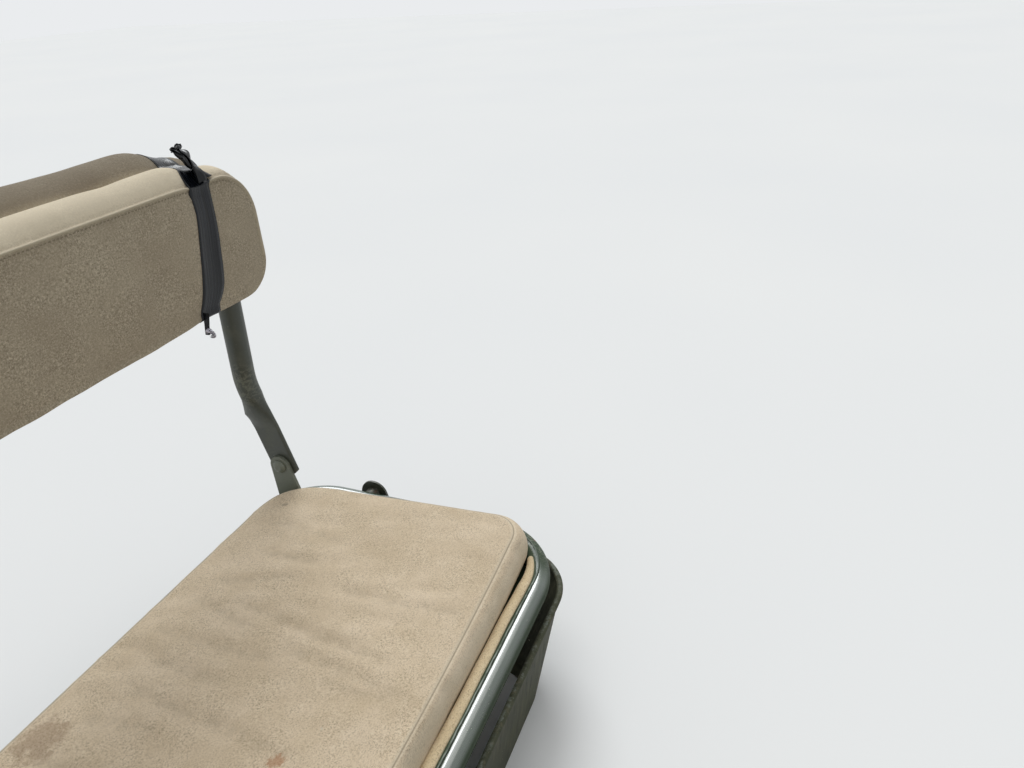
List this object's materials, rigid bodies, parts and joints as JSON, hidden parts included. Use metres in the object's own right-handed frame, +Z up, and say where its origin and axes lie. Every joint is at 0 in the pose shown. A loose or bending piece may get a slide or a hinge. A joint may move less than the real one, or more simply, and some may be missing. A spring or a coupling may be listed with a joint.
{
  "type": "folding rear bench seat",
  "caption": "Folding rear bench seat for a small open 4x4: tube ring with sheet pan, canvas cushion, front leg panel and a fold-down padded backrest.",
  "frame": {"origin": "on the load floor, in the middle between the four floor bolts, straight below the seat's pivot axis", "axes": "+X to the seat's left, +Y rearwards (the seat faces -Y), +Z up"},
  "size_m": [0.904, 0.4722, 0.6428],
  "materials": {
    "olive_paint": "semi-gloss olive green enamel, chipped",
    "dark_olive_paint": "worn dark olive enamel",
    "matt_olive_paint": "matt grey-olive paint",
    "worn_steel": "worn steel",
    "seat_canvas": "coarse sun-faded khaki canvas",
    "roll_canvas": "tan canvas",
    "back_canvas": "coarse greyish khaki canvas",
    "black_tape": "glossy adhesive tape"
  },
  "bodies": {
    "root": {"stand_left": "olive_paint", "stand_right": "olive_paint"},
    "seat": {"seat_tube": "olive_paint", "seat_pan": "olive_paint", "pan_channels": "dark_olive_paint", "leg_panel": "dark_olive_paint", "leg_tabs": "dark_olive_paint", "pivot_stub_left": "worn_steel", "pivot_stub_right": "worn_steel", "pivot_washers": "worn_steel", "lug_left": "matt_olive_paint", "lug_right": "matt_olive_paint", "back_rivet_left": "matt_olive_paint", "back_rivet_right": "matt_olive_paint", "seat_cushion": "seat_canvas", "front_roll": "roll_canvas"},
    "back": {"back_hoop": "matt_olive_paint", "back_cushion": "back_canvas", "tape_band": "black_tape"}
  },
  "joints": [
    {"name": "seat_fold", "type": "hinge", "parent": "root", "child": "seat", "pos_m": [0, 0, 0.144], "axis": [-1, 0, 0], "range_deg": [0, 85]},
    {"name": "back_fold", "type": "hinge", "parent": "seat", "child": "back", "pos_m": [0, 0.098, 0.213], "axis": [1, 0, 0], "range_deg": [0, 83]}
  ]
}
